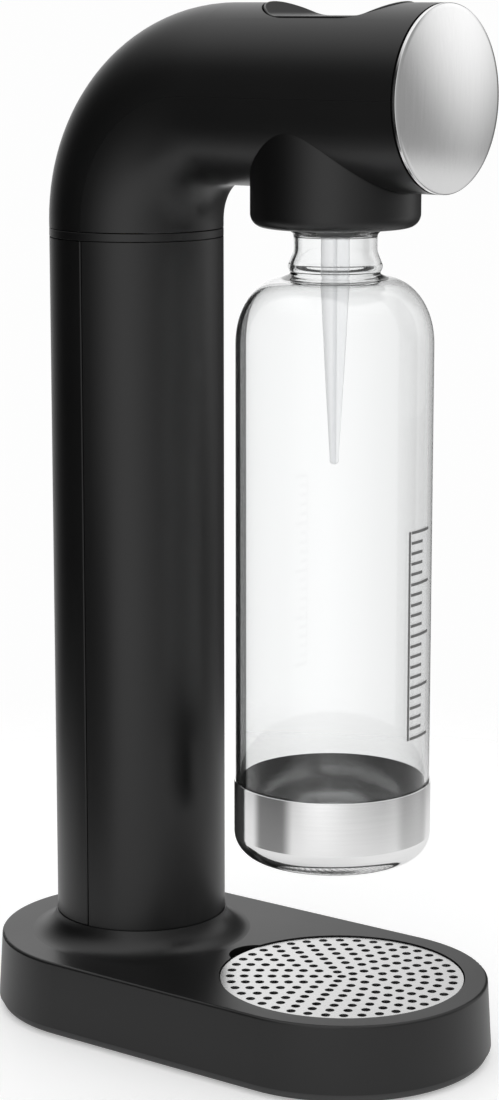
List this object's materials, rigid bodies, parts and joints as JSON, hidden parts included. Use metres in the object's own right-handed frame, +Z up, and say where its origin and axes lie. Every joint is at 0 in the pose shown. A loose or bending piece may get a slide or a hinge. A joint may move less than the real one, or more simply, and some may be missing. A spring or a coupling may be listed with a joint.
{
  "type": "soda carbonator",
  "caption": "Black soda carbonator: tubular column and arm on a stadium base, clear bottle with a steel base hanging from the arm, saddle button on top, round drip grille.",
  "frame": {"origin": "centre of the footprint, on the surface that the feet stand on", "axes": "+Z up, -Y to the front, where the arm and its disc point, +X to the machine's left as seen from its front"},
  "size_m": [0.1248, 0.2316, 0.4304],
  "materials": {
    "shell_black": "satin moulded",
    "base_black": "satin moulded",
    "inner_plastic": "moulded",
    "grille_steel": "punched and brushed",
    "disc_steel": "fine brushed",
    "sleeve_steel": "polished",
    "frame_steel": "zinc plated",
    "cylinder_paint": "satin lacquered",
    "valve_brass": "turned",
    "soft_rubber": "moulded",
    "seal_silicone": "moulded",
    "clear_plastic": "clear",
    "frosted_plastic": "frosted"
  },
  "bodies": {
    "machine": {"base_housing": "base_black", "base_plate": "inner_plastic", "base_feet": "soft_rubber", "base_screws": "frame_steel", "column_front_shell": "shell_black", "column_ring": "shell_black", "spine_frame": "frame_steel", "seat_spring": "frame_steel", "valve_receiver": "valve_brass", "receiver_seal": "seal_silicone", "plunger_spring": "frame_steel", "valve_bracket": "frame_steel", "bracket_screws": "frame_steel", "lever_pin": "frame_steel", "head_upper_shell": "shell_black", "head_lower_shell": "shell_black", "head_screws": "frame_steel", "button_carrier": "inner_plastic", "button_springs": "frame_steel", "disc_carrier": "inner_plastic", "front_disc": "disc_steel", "holder_frame": "inner_plastic", "pivot_pins": "frame_steel", "hose_fittings": "valve_brass", "gas_hose": "soft_rubber", "relief_valve": "valve_brass"},
    "rear_cover": {"rear_cover": "shell_black"},
    "button": {"carbonation_button": "shell_black"},
    "lever": {"actuator_lever": "frame_steel"},
    "plunger": {"valve_plunger": "frame_steel"},
    "valve_pin": {"cylinder_valve_pin": "frame_steel"},
    "cylinder_seat": {"cylinder_seat": "inner_plastic"},
    "gas_cylinder": {"gas_cylinder": "cylinder_paint", "cylinder_valve": "valve_brass"},
    "holder": {"bottle_holder": "inner_plastic", "bottle_grip_ring": "seal_silicone", "bottle_seal": "seal_silicone", "nozzle_body": "inner_plastic", "carbonation_tube": "frosted_plastic"},
    "bottle": {"bottle_body": "clear_plastic", "bottle_base_sleeve": "sleeve_steel"},
    "drip_tray": {"drip_tray": "base_black"},
    "drip_grille": {"drip_grille": "grille_steel"}
  },
  "joints": [
    {"name": "carbonation_press", "type": "slide", "parent": "machine", "child": "button", "axis": [0, 0, -1], "range_m": [0, 0.006], "stiffness_N_per_m": 700, "springref_m": -0.004, "deforming": ["button_springs"]},
    {"name": "lever_swing", "type": "hinge", "parent": "machine", "child": "lever", "pos_m": [0, 0.066, 0.382], "axis": [1, 0, 0], "range_deg": [0, 3.1]},
    {"name": "plunger_slide", "type": "slide", "parent": "machine", "child": "plunger", "axis": [0, 0, -1], "range_m": [0, 0.0007], "deforming": ["plunger_spring"]},
    {"name": "valve_pin_slide", "type": "slide", "parent": "gas_cylinder", "child": "valve_pin", "axis": [0, 0, -1], "range_m": [0, 0.0007]},
    {"name": "holder_tilt", "type": "hinge", "parent": "machine", "child": "holder", "pos_m": [0, -0.0481, 0.352], "axis": [-1, 0, 0], "range_deg": [0, 20]},
    {"name": "bottle_release", "type": "slide", "parent": "holder", "child": "bottle", "axis": [0, 0, -1], "range_m": [0, 0.025]},
    {"name": "tray_lift", "type": "slide", "parent": "machine", "child": "drip_tray", "axis": [0, 0, 1], "range_m": [0, 0.021]},
    {"name": "grille_lift", "type": "slide", "parent": "drip_tray", "child": "drip_grille", "axis": [0, 0, 1], "range_m": [0, 0.004]},
    {"name": "cover_slide", "type": "slide", "parent": "machine", "child": "rear_cover", "axis": [0, 1, 0], "range_m": [0, 0.08]},
    {"name": "cylinder_turn", "type": "hinge", "parent": "cylinder_seat", "child": "gas_cylinder", "pos_m": [0, 0.0534, 0.2], "axis": [0, 0, -1], "range_deg": [0, 450]},
    {"name": "seat_drop", "type": "slide", "parent": "machine", "child": "cylinder_seat", "axis": [0, 0, -1], "range_m": [0, 0.0051], "stiffness_N_per_m": 400, "springref_m": -0.015, "deforming": ["seat_spring"]}
  ],
  "couplings": [
    {"joint": "lever_swing", "follows": "carbonation_press", "rad_per_m": 8.7642},
    {"joint": "plunger_slide", "follows": "carbonation_press", "ratio": 0.11043},
    {"joint": "valve_pin_slide", "follows": "carbonation_press", "ratio": 0.11043},
    {"joint": "seat_drop", "follows": "cylinder_turn", "m_per_rad": 0.00063662}
  ]
}
